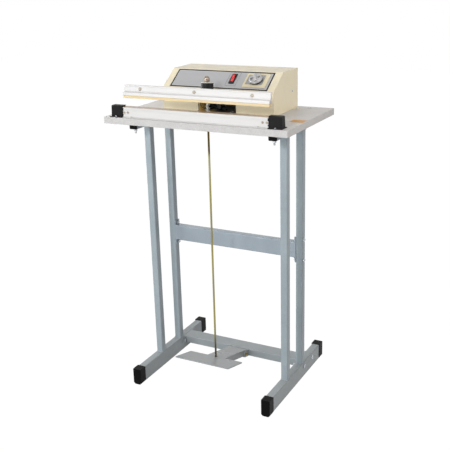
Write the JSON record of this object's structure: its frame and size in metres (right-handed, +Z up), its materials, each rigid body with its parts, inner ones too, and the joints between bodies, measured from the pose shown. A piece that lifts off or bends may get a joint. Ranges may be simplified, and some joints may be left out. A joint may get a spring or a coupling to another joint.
{
  "type": "impulse heat sealer",
  "caption": "Foot-operated impulse heat sealer: a pedal and pull rod close a sprung upper jaw on a heated lower jaw, on a table with a tubular stand.",
  "frame": {"origin": "on the floor, at the centre of the whole machine's footprint box", "axes": "+Z up, -Y towards the operator (jaws in front, housing behind), +X to the operator's right"},
  "size_m": [0.58, 0.4286, 0.9741],
  "materials": {
    "frame_paint": "light blue-grey enamel, slightly glossy",
    "table_paint": "light grey textured powder coat",
    "housing_paint": "cream powder coat, satin",
    "panel_foil": "brushed foil plate with a black edge line",
    "jaw_aluminium": "natural anodised extrusion, satin",
    "silicone": "pale yellow silicone, matt",
    "black_plastic": "moulded, satin",
    "cover_plastic": "moulded, fine grain",
    "black_rubber": "moulded, matt",
    "bright_zinc": "clear zinc plate",
    "yellow_zinc": "yellow chromate zinc plate",
    "rod_zinc": "yellow chromate zinc plate, drawn rod",
    "chrome_nut": "nickel plate, polished",
    "spring_steel": "zinc-plated spring wire",
    "insulation": "glass-laminate strip, matt",
    "heating_alloy": "nickel-chrome ribbon",
    "release_tape": "coated glass cloth, brown, slightly shiny",
    "brass": "machined",
    "black_steel": "black paint",
    "shaft_steel": "ground shaft",
    "core_steel": "varnished laminations",
    "coil_tape": "yellow winding tape",
    "switch_black": "moulded, glossy",
    "rocker_red": "translucent red key",
    "timer_cream": "moulded frame, satin",
    "knob_silver": "silver-lacquered knob",
    "board_green": "solder resist"
  },
  "bodies": {
    "stand": {"base_tube_left": "frame_paint", "base_tube_right": "frame_paint", "base_end_caps": "black_plastic", "leg_front_left": "frame_paint", "leg_front_right": "frame_paint", "leg_rear_left": "frame_paint", "leg_rear_right": "frame_paint", "top_rail_left": "frame_paint", "top_rail_right": "frame_paint", "rail_plugs": "black_plastic", "rail_studs": "bright_zinc", "middle_crossbar": "frame_paint", "middle_crossbar_bolts": "bright_zinc", "lower_crossbar": "frame_paint", "lower_crossbar_bolts": "bright_zinc", "hinge_bolt": "yellow_zinc", "table_top": "table_paint", "table_screws": "bright_zinc", "rod_bush": "black_plastic", "return_spring": "spring_steel", "lower_jaw": "jaw_aluminium", "jaw_shims": "bright_zinc", "insulation_strip": "insulation", "heating_ribbon": "heating_alloy", "release_tape": "release_tape", "lower_jaw_screws": "bright_zinc", "terminal_blocks": "brass", "end_cover_left": "cover_plastic", "end_cover_right": "cover_plastic", "cover_screws": "bright_zinc", "pivot_bracket": "yellow_zinc", "pivot_shaft": "shaft_steel", "limit_switch": "black_plastic", "housing": "housing_paint", "rear_panel": "housing_paint", "housing_screws": "bright_zinc", "cord_gland": "black_plastic", "fuse_holder": "black_plastic", "transformer": "core_steel", "transformer_coil": "coil_tape", "control_panel": "panel_foil", "switch_bezel": "switch_black", "timer_frame": "timer_cream", "timer_module": "black_plastic", "circuit_board": "board_green", "board_posts": "bright_zinc"},
    "pedal_lever": {"pedal": "frame_paint"},
    "jaw_lever": {"rod_buffer": "black_rubber", "buffer_ring": "bright_zinc", "upper_jaw": "jaw_aluminium", "silicone_strip": "silicone", "jaw_bar": "black_steel", "jaw_screws": "bright_zinc", "jaw_arm": "black_steel"},
    "draw_rod": {"pull_rod": "rod_zinc", "rod_nuts": "rod_zinc", "buffer_washer": "bright_zinc", "acorn_nut": "chrome_nut"},
    "switch_key": {"rocker": "rocker_red"},
    "timer_dial": {"timer_knob": "knob_silver"}
  },
  "joints": [
    {"name": "pedal_hinge", "type": "hinge", "parent": "stand", "child": "pedal_lever", "pos_m": [0, 0.043, 0.041], "axis": [1, 0, 0], "range_deg": [0, 6.31], "stiffness_Nm_per_rad": 6, "springref_deg": -17.19},
    {"name": "jaw_hinge", "type": "hinge", "parent": "stand", "child": "jaw_lever", "pos_m": [0, 0.035, 0.9], "axis": [1, 0, 0], "range_deg": [0, 6.75], "stiffness_Nm_per_rad": 14, "springref_deg": -17.19, "deforming": ["return_spring"]},
    {"name": "rod_swing", "type": "hinge", "parent": "jaw_lever", "child": "draw_rod", "pos_m": [0, -0.098, 0.92531], "axis": [1, 0, 0], "range_deg": [-6.95, 0]},
    {"name": "power_switch", "type": "hinge", "parent": "stand", "child": "switch_key", "pos_m": [0.036, -0.00444, 0.95187], "axis": [1, 0, 0], "range_deg": [-18, 0]},
    {"name": "timer_turn", "type": "hinge", "parent": "stand", "child": "timer_dial", "pos_m": [0.112, -0.00745, 0.94918], "axis": [0, -0.5686, 0.8226], "range_deg": [-135, 135]}
  ],
  "couplings": [
    {"joint": "jaw_hinge", "follows": "pedal_hinge", "ratio": 1.0694},
    {"joint": "rod_swing", "follows": "pedal_hinge", "ratio": -1.0975}
  ]
}
